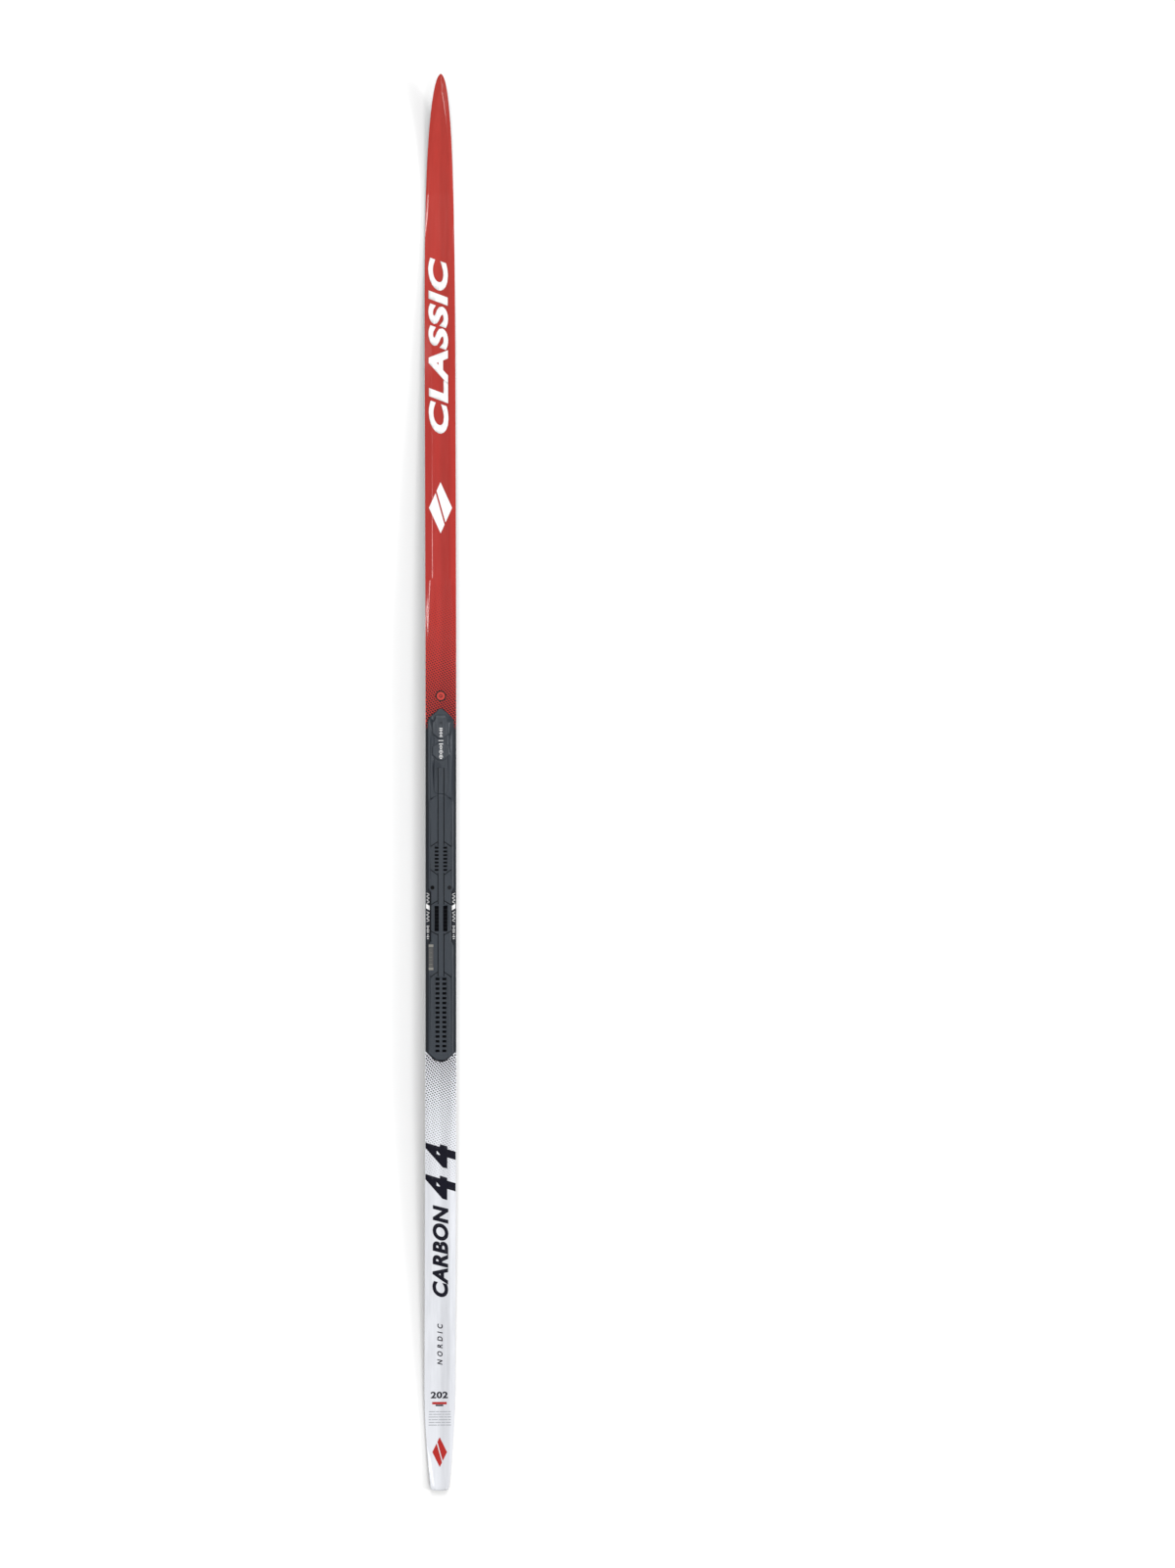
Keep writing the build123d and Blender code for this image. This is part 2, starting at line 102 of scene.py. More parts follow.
class SkiSizes(PropertyGroup):
    """Sizes of the prints and of the finished edges."""
    film: length("Print thickness", "How far ink stands up", 0.05)
    gap: length("Print gap", "Space under the ink film", 0.01)
    dot_radius: length("Dot radius", "Largest halftone dot", 1.58)
    fine_dot_radius: length("Fine dot radius", "Smallest halftone dot", 0.30)
    plate_edge: length("Plate edge", "Rounding along the plate's edges", 0.22)
    skin_edge: length("Skin edge", "Rounding along the topsheet's rim", 0.28)
    skin_crease: length("Skin crease", "Rounding along the creases of the top", 0.8)


class SkiStage(PropertyGroup):
    """Camera and light."""
    tilt: FloatProperty(name="Tilt", description="Camera's lean to the ski's left", subtype="ANGLE",
                        default=radians(3.6))
    distance: FloatProperty(name="Distance", description="Camera distance", unit="LENGTH", default=11.0)
    field: FloatProperty(name="Field", description="Height of the picture at the ski", unit="LENGTH",
                         default=2.235)
    aside: FloatProperty(name="Aside", description="How far the view's middle is right of the ski",
                         unit="LENGTH", default=0.2093)
    sky: FloatProperty(name="Sky", description="Strength of the even light", default=0.45)
    high: FloatProperty(name="High light", default=1.10,
                        description="Strength of the light from beyond the tip")
    side: FloatProperty(name="Side light", default=0.60, description="Strength of the light from the right")
    rim: FloatProperty(name="Rim light", default=0.45,
                       description="Strength of the small light that draws the right edges")
    tip: FloatProperty(name="Tip light", default=0.42,
                       description="Strength of the small light that draws the tip's right crease")
    glint: FloatProperty(name="Glint", default=0.50,
                         description="Strength of the small light over the left edge")


def colours():
    return bpy.context.scene.ski_colours


def sizes():
    return bpy.context.scene.ski_sizes


# ---- shader writing --------------------------------------------------------
class Value:
    """A socket that takes part in a Python expression; each operator adds one Math node."""

    def __init__(self, shader, socket):
        self.shader, self.socket = shader, socket

    def math(self, operation, *others):
        return self.shader.math(operation, self, *others)

    def __add__(self, other):
        return self.math("ADD", other)

    __radd__ = __add__

    def __mul__(self, other):
        return self.math("MULTIPLY", other)

    __rmul__ = __mul__

    def __sub__(self, other):
        return self.math("SUBTRACT", other)

    def __rsub__(self, other):
        return self.shader.math("SUBTRACT", other, self)

    def __truediv__(self, other):
        return self.math("DIVIDE", other)

    def __gt__(self, other):
        return self.math("GREATER_THAN", other)

    def __lt__(self, other):
        return self.math("LESS_THAN", other)

    def __abs__(self):
        return self.math("ABSOLUTE")


class Made:
    """A node that was added; indexing gives one of its outputs."""

    def __init__(self, shader, node):
        self.shader, self.node = shader, node

    def __getitem__(self, key):
        return Value(self.shader, self.node.outputs[key])


class Shader:
    """A material written as expressions."""

    def __init__(self, name):
        self.material = bpy.data.materials.new(name)
        self.material.use_nodes = True
        self.tree = self.material.node_tree
        self.tree.nodes.clear()
        self.where = self.add("ShaderNodeTexCoord")["Object"]

    def add(self, kind, settings=None, links=None):
        node = self.tree.nodes.new(kind)
        for key, value in (settings or {}).items():
            if key == "stops":
                self.set_stops(node.color_ramp, value)
            else:
                setattr(node, key, value)
        for key, value in (links or {}).items():
            if isinstance(value, Value):
                self.tree.links.new(value.socket, node.inputs[key])
            else:
                node.inputs[key].default_value = value
        return Made(self, node)

    @staticmethod
    def set_stops(ramp, stops):
        while len(ramp.elements) < len(stops):
            ramp.elements.new(0.5)
        for element, (place, value) in zip(ramp.elements, stops):
            element.position = place
            element.color = (*value, 1.0)

    def math(self, operation, *values):
        return self.add("ShaderNodeMath", {"operation": operation}, dict(enumerate(values)))[0]

    def position(self):
        """Object coordinates as three values."""
        parts = self.add("ShaderNodeSeparateXYZ", None, {0: self.where})
        return parts["X"], parts["Y"], parts["Z"]

    def ramp(self, value, start, end, low=0.0, high=1.0):
        """A smooth step from low to high as value goes from start to end."""
        links = {"Value": value, "From Min": start, "From Max": end, "To Min": low, "To Max": high}
        return self.add("ShaderNodeMapRange", {"interpolation_type": "SMOOTHSTEP"}, links)["Result"]

    def spread(self, noise, low, high):
        """From low to high over the usual run of a noise."""
        return self.ramp(noise, 0.3, 0.7, low, high)

    def mix(self, factor, a, b):
        a, b = (v if isinstance(v, Value) else (*v, 1.0) for v in (a, b))
        return self.add("ShaderNodeMix", {"data_type": "RGBA"}, {0: factor, 6: a, 7: b})[2]

    def shade(self, factor, tint, amount):
        """tint made darker and lighter by amount, following factor from 0 to 1."""
        tone = self.ramp(factor, 0.25, 0.75, 1 - amount, 1 + amount)
        links = {0: tint if isinstance(tint, Value) else tuple(tint), 1: self.vector(tone, tone, tone)}
        return self.add("ShaderNodeVectorMath", {"operation": "MULTIPLY"}, links)[0]

    def vector(self, x, y, z):
        return self.add("ShaderNodeCombineXYZ", None, {0: x, 1: y, 2: z})[0]

    def noise(self, scale, detail=3.0, stretch=(1, 1, 1), turn=0.0):
        """Noise with scale features per metre, stretched, or turned by degrees, by a Mapping node."""
        mapping = {"Vector": self.where, "Scale": stretch, "Rotation": (0, 0, radians(turn))}
        placed = self.add("ShaderNodeMapping", {"vector_type": "POINT"}, mapping)[0]
        links = {"Vector": placed, "Scale": scale, "Detail": detail, "Roughness": 0.55}
        return self.add("ShaderNodeTexNoise", None, links)[0]

    def bump(self, height, depth_mm, normal=None):
        links = {"Height": height, "Distance": depth_mm * MM, "Strength": 1.0}
        if normal is not None:
            links["Normal"] = normal
        return self.add("ShaderNodeBump", None, links)[0]

    def surface(self, **sockets):
        """Principled surface; sockets are named with underscores for spaces."""
        links = {key.replace("_", " "): value for key, value in sockets.items()}
        if not isinstance(links["Base Color"], Value):
            links["Base Color"] = (*links["Base Color"], 1.0)
        return self.add("ShaderNodeBsdfPrincipled", None, links)[0]

    def output(self, surface):
        self.add("ShaderNodeOutputMaterial", None, {"Surface": surface})
        return self.material

    def finish(self, **sockets):
        return self.output(self.surface(**sockets))


# ---- materials -------------------------------------------------------------
# Where the topsheet's print changes along the ski, from and to, in metres
# TIP_RED: from 0.30 m towards the tip the red turns into the tip red, a painted highlight on the rising
# tip.
TIP_RED = (0.30, 1.0)
PLATE_RED = (0.30, 0.10)
RED_TO_BLACK = (0.088, 0.076)
BLACK_TO_WHITE = (-0.3813, -0.3819)
TAIL_TO_BRIGHT = (-0.56, -0.44)
# How much brighter than their colour the red and the white are next to the plate
RED_GAIN = 1.2
WHITE_GAIN = 1.12
# The white's pointed front: half width of its flat middle in mm, and its slope
WHITE_FLAT = 13
WHITE_SLOPE = 0.97
# Left and right side of a band of painted shade along the ski, in mm across
SHADE_BAND = ((-2, 3), (16, 13))


def brighter(tint, gain):
    return tuple(gain * v for v in tint)


def printed_topsheet():
    """Red, black and white lacquered print, with soft drifts of tone, a band of painted shade along it and
    a faint orange peel.
    """
    s = Shader(PRINT)
    x, y, _ = s.position()
    c = colours()
    red = s.mix(s.ramp(y, *TIP_RED), c.red, c.tip_red)
    red = s.mix(s.ramp(y, *PLATE_RED), red, brighter(c.red, RED_GAIN))
    inward = HALF_WIDTH - abs(x).math("MAXIMUM", WHITE_FLAT * MM)
    tone = s.mix(s.ramp(y, *RED_TO_BLACK), red, c.black)
    white = s.mix(s.ramp(y, *TAIL_TO_BRIGHT), c.white, brighter(c.white, WHITE_GAIN))
    tone = s.mix(s.ramp(y + inward * WHITE_SLOPE, *BLACK_TO_WHITE), tone, white)
    left, right = (s.ramp(x, start * MM, end * MM) for start, end in SHADE_BAND)
    # Painted shade: the band is mixed a little towards a dark red.
    tone = s.mix(left * right * 0.13, tone, (0.02, 0.01, 0.01))
    streak = s.noise(260.0, 2.0, stretch=(1.0, 0.012, 1.0))
    drift = s.noise(9.0, 2.0, stretch=(2.0, 0.35, 1.0))
    flakes = s.noise(2600.0, 1.0)
    tone = s.shade(flakes, s.shade(drift, s.shade(streak, tone, 0.045), 0.035), 0.03)
    peel = s.noise(420.0, 2.0)
    hairlines = s.noise(900.0, 2.0, stretch=(1.0, 0.02, 1.0))
    rough = s.ramp(hairlines, 0.3, 0.8, 0.14, 0.22)
    return s.finish(Base_Color=tone, Roughness=rough, Normal=s.bump(peel, 0.004), Coat_Weight=0.1,
                    Coat_Roughness=0.08, Specular_IOR_Level=0.35)


def ink(name, tint, rough=0.26):
    """Screen-printed ink: nearly even, with a fine mottled film."""
    s = Shader(name)
    mottle = s.noise(1400.0, 3.0)
    broad = s.noise(60.0, 2.0)
    tone = s.shade(broad, s.shade(mottle, tint, 0.03), 0.03)
    return s.finish(Base_Color=tone, Roughness=s.spread(mottle, rough - 0.05, rough + 0.07),
                    Normal=s.bump(mottle, 0.002), Specular_IOR_Level=0.1)


def milled_plastic():
    """White sidewall plastic with the fine lengthwise lines of its planing."""
    s = Shader("milled_plastic")
    lines = s.noise(1500.0, 3.0, stretch=(1.0, 0.012, 1.0))
    cloud = s.noise(25.0, 3.0)
    tone = s.shade(cloud, s.shade(lines, colours().plastic_white, 0.05), 0.025)
    return s.finish(Base_Color=tone, Roughness=s.spread(lines, 0.36, 0.52),
                    Normal=s.bump(lines, 0.012), IOR=1.53)


def cast_plastic():
    """White plastic of the end inserts, with a faint flow pattern."""
    s = Shader("cast_plastic")
    flow = s.noise(70.0, 4.0, stretch=(1.0, 0.3, 1.0))
    grain = s.noise(2200.0, 2.0)
    tone = s.shade(flow, colours().plastic_white, 0.04)
    return s.finish(Base_Color=tone, Roughness=s.spread(grain, 0.40, 0.50),
                    Normal=s.bump(grain, 0.006), IOR=1.53)


def ground_base():
    """Black sintered polyethylene with the crossed lines of a stone grind and a few pale scratches."""
    s = Shader("ground_base")
    one_way = s.noise(1300.0, 2.0, stretch=(1.0, 0.02, 1.0), turn=2.5)
    other_way = s.noise(1300.0, 2.0, stretch=(1.0, 0.02, 1.0), turn=-2.5)
    grind = one_way * other_way
    grains = s.noise(800.0, 4.0)
    tone = s.shade(grains, colours().base, 0.25)
    scratch = s.noise(260.0, 1.0, stretch=(1.0, 0.006, 1.0))
    pale = s.mix(s.ramp(scratch, 0.74, 0.80, 0.0, 0.35), tone, (0.16, 0.16, 0.17))
    return s.finish(Base_Color=pale, Roughness=s.ramp(grind, 0.15, 0.4, 0.34, 0.5),
                    Normal=s.bump(grind, 0.02), IOR=1.51)


# The plate's recesses get painted shade: how far in mm under the deck it starts and is full
HOLLOW_SHADE_DEPTH = (1.0, 2.3)
CHEVRON_SHADE_DEPTH = (0.7, 0.95)
CHEVRON_SHADE = 0.85
CHEVRON_HALF = 15.3          # mm from the middle line
CHEVRON_FRONT = -20          # mm along the ski
# Flat black used as painted shade in the plate's recesses and in its drilled left hole
SHADE_BLACK = (0.004, 0.004, 0.005)
BLUISH = (0.88, 0.94, 1.0, 1.0)


def moulded_plate():
    """Black glass-filled nylon: fine spark-eroded grain, paler swirls, worn high places, and painted shade
    darkening the recesses.
    """
    s = Shader("moulded_plate")
    x, y, z = s.position()
    grain = s.noise(2600.0, 3.0)
    swirl = s.noise(45.0, 4.0, stretch=(1.0, 0.4, 1.0))
    rub = s.noise(500.0, 3.0, stretch=(1.0, 0.08, 1.0))
    high = s.ramp(z, DECK - 0.4 * MM, LOBE)
    hollow_shade, chevron_shade_mask = (s.ramp(z, DECK - start * MM, DECK - end * MM) for start, end in (HOLLOW_SHADE_DEPTH, CHEVRON_SHADE_DEPTH))
    chevron_shade_mask = chevron_shade_mask * (abs(x) < CHEVRON_HALF * MM) * (y < CHEVRON_FRONT * MM)
    # Painted shade: the deeper a recess lies, the more the plate is mixed into the flat black surface.
    shade_mask = hollow_shade.math("MAXIMUM", chevron_shade_mask * CHEVRON_SHADE)
    tone = s.shade(swirl, s.shade(grain, colours().plate, 0.12), 0.10)
    worn = s.ramp(rub, 0.50, 0.75, 0.15, 0.6) * high
    tone = s.mix(worn, tone, (0.060, 0.064, 0.072))
    rough = s.spread(grain, 0.31, 0.43) - worn * 0.08
    rounded = s.add("ShaderNodeBevel", {"samples": 6}, {"Radius": sizes().plate_edge})[0]
    lit = s.surface(Base_Color=tone, Roughness=rough, Normal=s.bump(grain, 0.018, rounded),
                    Specular_IOR_Level=0.55, Specular_Tint=BLUISH)
    # A flat black surface that stands for shade in the recesses, not a finish of the plate.
    shade_surface = s.surface(Base_Color=SHADE_BLACK, Roughness=0.8, Specular_IOR_Level=0.0)
    return s.output(s.add("ShaderNodeMixShader", None, {0: shade_mask, 1: lit, 2: shade_surface})[0])


ABOVE_ZERO = 4000.0          # a whole number of repeats that keeps the modulo's input positive


def twill(s, across, along, tow):
    """Two-over-two twill of tows: 0 where the tow runs along, 1 where it runs across."""
    u, v = across / tow, along / tow
    step = u.math("FLOOR") + v.math("FLOOR") + ABOVE_ZERO
    over = step.math("MODULO", 4.0) < 1.5
    arch_u = abs((u * pi).math("SINE"))
    arch_v = abs((v * pi).math("SINE"))
    return over, over * arch_u + (1 - over) * arch_v


def carbon_cloth(name, tow_mm, diagonal, dark, light):
    """Woven or braided carbon in clear resin."""
    s = Shader(name)
    x, y, _ = s.position()
    across, along = (x + y, y - x) if diagonal else (x, y)
    over, crown = twill(s, across, along, tow_mm * MM)
    strands = s.noise(1800.0, 2.0, stretch=(1.0, 1.0, 0.2))
    tone = s.mix(crown * 0.6 + over * 0.25, dark, light)
    tone = s.shade(strands, tone, 0.15)
    return s.finish(Base_Color=tone, Roughness=s.ramp(crown, 0.0, 1.0, 0.42, 0.26),
                    Normal=s.bump(crown, 0.03), Coat_Weight=0.3, Coat_Roughness=0.08, IOR=1.55)


def carbon_tape():
    """Lengthwise carbon fibres in resin."""
    s = Shader("carbon_tape")
    fibre = s.noise(2400.0, 3.0, stretch=(1.0, 0.004, 1.0))
    bundle = s.noise(300.0, 2.0, stretch=(1.0, 0.01, 1.0))
    tone = s.mix(s.ramp(fibre, 0.3, 0.7), (0.012, 0.012, 0.014), (0.060, 0.061, 0.066))
    tone = s.shade(bundle, tone, 0.2)
    return s.finish(Base_Color=tone, Roughness=s.spread(fibre, 0.38, 0.26),
                    Normal=s.bump(fibre, 0.01), Coat_Weight=0.3, Coat_Roughness=0.1)


def core_foam():
    """Closed-cell foam: small round cells with darker walls."""
    s = Shader("core_foam")
    bubbles = {"Vector": s.where, "Scale": 1100.0}
    cells = s.add("ShaderNodeTexVoronoi", {"feature": "F1"}, bubbles)["Distance"]
    wall = s.ramp(cells, 0.15, 0.6)
    drift = s.noise(30.0, 3.0)
    tone = s.mix(wall, (0.80, 0.70, 0.46), (0.60, 0.48, 0.27))
    tone = s.shade(drift, tone, 0.06)
    return s.finish(Base_Color=tone, Roughness=s.ramp(cells, 0.0, 0.7, 0.75, 0.92),
                    Normal=s.bump(1 - wall, 0.15))


def glass_sheet():
    """Glass cloth laminate of the reinforcement."""
    s = Shader("glass_sheet")
    x, y, _ = s.position()
    over, crown = twill(s, x, y, 1.1 * MM)
    tone = s.mix(crown, (0.24, 0.21, 0.12), (0.46, 0.41, 0.26))
    cloud = s.noise(60.0, 3.0)
    tone = s.shade(cloud, tone, 0.08)
    return s.finish(Base_Color=tone, Roughness=s.ramp(crown, 0.0, 1.0, 0.55, 0.38),
                    Normal=s.bump(crown, 0.02))


# The tag's printed coil in mm: its pitch, inner and outer radius; and half the chip's side
COIL_PITCH = 0.6
COIL_INNER = 2.2
COIL_OUTER = 5.6
CHIP_HALF = 0.8


def tag_film():
    """Film with the copper turns of a flat coil round a small chip."""
    s = Shader("tag_film")
    x, y, _ = s.position()
    y = y - BADGE_Y
    radius = (x * x + y * y).math("SQRT")
    turn = (radius * (tau / (COIL_PITCH * MM))).math("SINE") > 0.0
    coil = turn * (radius > COIL_INNER * MM) * (radius < COIL_OUTER * MM)
    chip = (abs(x) < CHIP_HALF * MM) * (abs(y) < CHIP_HALF * MM)
    speck = s.noise(900.0, 2.0)
    tone = s.mix(coil, (0.50, 0.42, 0.20), (0.72, 0.30, 0.14))
    tone = s.shade(speck, s.mix(chip, tone, (0.03, 0.03, 0.03)), 0.06)
    return s.finish(Base_Color=tone, Roughness=0.6 - coil * 0.35, Metallic=coil * 0.9,
                    Normal=s.bump(coil, 0.03))


def adhesive_film():
    """Dark bonding film, slightly rippled along its edge."""
    s = Shader("adhesive_film")
    ripple = s.noise(500.0, 3.0)
    tone = s.shade(ripple, (0.075, 0.076, 0.084), 0.2)
    return s.finish(Base_Color=tone, Roughness=s.spread(ripple, 0.22, 0.4), Normal=s.bump(ripple, 0.03))


BADGE_RIM = (5.75, 5.95)     # mm from its middle, where the badge turns dark


def badge_lens():
    """Glossy red disc with a dark rim."""
    s = Shader("badge_lens")
    x, y, _ = s.position()
    y = y - BADGE_Y
    radius = (x * x + y * y).math("SQRT")
    rim = s.ramp(radius, *(r * MM for r in BADGE_RIM))
    speck = s.noise(1500.0, 2.0)
    tone = s.shade(speck, s.mix(rim, (0.50, 0.045, 0.034), (0.010, 0.006, 0.006)), 0.06)
    return s.finish(Base_Color=tone, Roughness=s.spread(speck, 0.16, 0.24), Normal=s.bump(rim, 0.04),
                    Specular_IOR_Level=0.3, Coat_Weight=0.1, Coat_Roughness=0.05)


def label_film():
    """Matt black label film."""
    s = Shader("label_film")
    grain = s.noise(1700.0, 3.0)
    tone = s.shade(grain, (0.034, 0.034, 0.036), 0.15)
    return s.finish(Base_Color=tone, Roughness=s.spread(grain, 0.42, 0.55), Normal=s.bump(grain, 0.005))


def pale_floor():
    """Even pale matt floor."""
    s = Shader("pale_floor")
    tone = s.shade(s.noise(3.0, 3.0), (0.96, 0.96, 0.96), 0.004)
    return s.finish(Base_Color=tone, Roughness=0.9, Specular_IOR_Level=0.1)


# ---- modelling helpers -----------------------------------------------------
def choose(obj):
    """Makes obj the only selected and the active object."""
    bpy.ops.object.select_all(action="DESELECT")
    obj.select_set(True)
    bpy.context.view_layer.objects.active = obj


def active(name):
    """The active object, renamed."""
    obj = bpy.context.view_layer.objects.active
    obj.name = obj.data.name = name
    return obj


def editing(obj):
    """Starts edit mode on obj with all of it selected."""
    choose(obj)
    bpy.ops.object.mode_set(mode="EDIT")
    bpy.ops.mesh.select_all(action="SELECT")


def done():
    bpy.ops.object.mode_set(mode="OBJECT")


def modify(obj, kind, **settings):
    """Adds a modifier with these settings and applies it."""
    choose(obj)
    modifier = obj.modifiers.new(kind.title(), kind)
    for key, value in settings.items():
        setattr(modifier, key, value)
    bpy.ops.object.modifier_apply(modifier=modifier.name)


def place(obj, x=0.0, y=0.0, turn=0.0):
    """Moves and turns a flat shape, and keeps its place in its mesh."""
    choose(obj)
    obj.location = (x, y, 0)
    obj.rotation_euler = (0, 0, turn)
    bpy.ops.object.transform_apply(location=True, rotation=True, scale=True)


def join(pieces, name):
    """One object made of the pieces."""
    choose(pieces[0])
    for piece in pieces:
        piece.select_set(True)
    bpy.ops.object.join()
    return active(name)


def coat(mesh, material):
    """Gives the mesh this material alone."""
    mesh.materials.clear()
    mesh.materials.append(material)


def give(obj, material):
    """Hands the finished piece its material and body."""
    coat(obj.data, material)
    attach(obj, "root")
    return obj


def weigh_edges(mesh, rim_share):
    """Full bevel weight on the shallow creases of the top, a share of it on the sharp rim."""
    edges = np.empty(len(mesh.loops), int)
    mesh.loops.foreach_get("edge_index", edges)
    owner = np.repeat(np.arange(len(mesh.polygons)), [polygon.loop_total for polygon in mesh.polygons])
    normals = np.array([polygon.normal for polygon in mesh.polygons])
    pairs = normals[owner[np.argsort(edges, kind="stable")].reshape(-1, 2)]
    angle = np.degrees(np.arccos(np.clip((pairs[:, 0] * pairs[:, 1]).sum(1), -1, 1)))
    ends = np.array([[mesh.vertices[v].co.y for v in edge.vertices] for edge in mesh.edges])
    shallow = (angle > SHALLOW_CREASE) & (ends.max(1) < CREASE_END)
    weight = np.where(angle > SHARP_RIM, rim_share, np.where(shallow, 1.0, 0.0))
    mesh.attributes.new("bevel_weight_edge", "FLOAT", "EDGE").data.foreach_set("value", weight)


def clad(node, name, material, crease=30.0, rim=0.0, soften=0.0):
    """A smooth copy of a CAD node that stands for it: merged, and with rim and creases rounded if asked."""
    obj = bpy.data.objects.new(name, NODES[node].data.copy())
    bpy.context.scene.collection.objects.link(obj)
    editing(obj)
    bpy.ops.mesh.remove_doubles(threshold=MERGE)
    if rim:
        bpy.ops.mesh.tris_convert_to_quads(face_threshold=radians(NEARLY_FLAT), shape_threshold=pi)
    done()
    if rim:
        weigh_edges(obj.data, rim / soften)
        modify(obj, "BEVEL", width=soften, segments=3, limit_method="WEIGHT", use_clamp_overlap=False)
    choose(obj)
    bpy.ops.object.shade_smooth_by_angle(angle=radians(crease))
    if rim:
        modify(obj, "WEIGHTED_NORMAL", keep_sharp=True)
    give(obj, material)
    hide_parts(node)
    return obj


def flat_sheet(width, height, x=0.0, y=0.0):
    """A flat rectangle facing up, width across and height along the ski."""
    bpy.ops.object.select_all(action="DESELECT")
    bpy.ops.mesh.primitive_plane_add(size=1.0, location=(0, 0, 0))
    obj = active("sheet")
    editing(obj)
    bpy.ops.transform.resize(value=(width, height, 1), center_override=(0, 0, 0))
    done()
    place(obj, x, y)
    return obj


def flat_polygon(corners, half_width, half_height, x=0.0, y=0.0):
    """A flat polygon facing up, stretched to its half sizes; its first corner points along the ski."""
    bpy.ops.object.select_all(action="DESELECT")
    bpy.ops.mesh.primitive_circle_add(vertices=corners, radius=1.0, fill_type="NGON", location=(0, 0, 0))
    obj = active("polygon")
    editing(obj)
    bpy.ops.transform.resize(value=(half_width, half_height, 1), center_override=(0, 0, 0))
    done()
    place(obj, x, y)
    return obj


def slanted(obj, lean):
    """Leans a flat shape forward: a point goes along the ski by lean times its distance to the left."""
    matrix = Matrix.Identity(4)
    matrix[1][0] = -lean
    obj.data.transform(matrix)
    return obj


def lettering(words, spacing, bold, lean):
    """Flat letters in the built-in face, slanted, as a mesh with its corner at the origin."""
    bpy.ops.object.select_all(action="DESELECT")
    bpy.ops.object.text_add(location=(0, 0, 0))
    obj = bpy.context.view_layer.objects.active
    obj.data.body = words
    obj.data.size = 1.0
    obj.data.space_character = spacing
    obj.data.offset = bold
    obj.data.shear = lean
    obj.data.resolution_u = 5
    choose(obj)
    bpy.ops.object.convert(target="MESH")
    return active("letters")


def extent(obj):
    """Lowest and highest corner of a mesh."""
    points = np.array([v.co for v in obj.data.vertices])
    return points.min(0), points.max(0)


def word_in(box, words, spacing, bold, lean, along=True):
    """Flat letters stretched into a box given in mm; along means that they read from tail to tip."""
    low, high = ([v * MM for v in corner] for corner in box)
    obj = lettering(words, spacing, bold, lean)
    if along:
        place(obj, turn=pi / 2)
    start, end = extent(obj)
    scale = [(high[k] - low[k]) / (end[k] - start[k]) for k in (0, 1)]
    shift = [low[k] - start[k] * scale[k] for k in (0, 1)]
    matrix = Matrix.Translation((*shift, 0)) @ Matrix.Diagonal((*scale, 1, 1))
    obj.data.transform(matrix)
    return obj


def split_rhombus(half_wide, half_high, y, gap, slant=0.28):
    """The two halves of a flat rhombus with a slanted gap between them; sizes in mm."""
    halves = []
    for side in (-1, 1):
        half = flat_polygon(4, half_wide * MM, half_high * MM, 0, y * MM)
        editing(half)
        bpy.ops.mesh.bisect(plane_co=(side * gap / 2 * MM, y * MM, 0), plane_no=(side, side * slant, 0),
                            clear_inner=True)
        done()
        halves.append(half)
    return halves


def cut_between(obj, axis, step):
    """Cuts a flat mesh into strips, so that it can follow the curved top."""
    low, high = extent(obj)
    normal = tuple(float(k == axis) for k in range(3))
    first = int(low[axis] / step) - 1
    last = int(high[axis] / step) + 1
    for k in range(first, last + 1):
        at = tuple(k * step * n for n in normal)
        editing(obj)
        bpy.ops.mesh.bisect(plane_co=at, plane_no=normal)
        done()


def trimmed(obj, half):
    """Cuts away what reaches past the ski's edges."""
    for side in (-1, 1):
        editing(obj)
        bpy.ops.mesh.bisect(plane_co=(side * half, 0, 0), plane_no=(side, 0, 0), clear_outer=True)
        done()


def laid(obj, name, material, cell=None, level=None):
    """Lays a flat shape on the topsheet, cut into cells if asked, or at a level, and gives it thickness."""
    obj.name = obj.data.name = name
    if level is None:
        if cell:
            cut_between(obj, 0, cell[0] * MM)
            cut_between(obj, 1, cell[1] * MM)
        obj.data.transform(Matrix.Translation((0, 0, ABOVE_SKI)))
        modify(obj, "SHRINKWRAP", target=bpy.data.objects["topsheet_print"], wrap_method="PROJECT",
               use_project_z=True, use_negative_direction=True, use_positive_direction=False)
        level = 0.0
    obj.data.transform(Matrix.Translation((0, 0, level + sizes().gap)))
    modify(obj, "SOLIDIFY", thickness=sizes().film, offset=1.0, use_even_offset=False)
    return give(obj, material)


# ---- the pieces ------------------------------------------------------------
class SKI_OT_laminate(Operator):
    """Finish the base, the fibre sheets, the sidewalls, the end inserts and the topsheet"""
    bl_idname = "ski.laminate"
    bl_label = "Laminated body"

    def execute(self, context):
        cloth = carbon_cloth("carbon_cloth", 2.0, False, (0.010, 0.010, 0.012), (0.070, 0.072, 0.078))
        wall, insert = milled_plastic(), cast_plastic()
        clad("running_base", "base_sole", ground_base())
        clad("lower_laminate", "lower_cloth", cloth)
        clad("upper_laminate", "upper_cloth", cloth)
        clad("sidewall_left", "left_wall", wall)
        clad("sidewall_right", "right_wall", wall)
        clad("tip_insert", "tip_filler", insert)
        clad("tail_insert", "tail_filler", insert)
        clad("topsheet", "topsheet_print", printed_topsheet(), rim=sizes().skin_edge,
             soften=sizes().skin_crease)
        return {"FINISHED"}


class SKI_OT_inner_layers(Operator):
    """Finish the core, its sleeve and tapes, the reinforcement, the tag and the bonding film"""
    bl_idname = "ski.inner_layers"
    bl_label = "Inner layers"

    def execute(self, context):
        sleeve = carbon_cloth("carbon_sleeve", 2.6, True, (0.012, 0.012, 0.014), (0.080, 0.082, 0.088))
        tape = carbon_tape()
        finishes = {"torsion_wrap": sleeve, "lower_carbon_tape": tape, "upper_carbon_tape": tape,
                    "foam_core": core_foam(), "binding_reinforcement": glass_sheet(),
                    "radio_tag": tag_film(), "plate_adhesive": adhesive_film()}
        for node, material in finishes.items():
            coat(NODES[node].data, material)
        return {"FINISHED"}


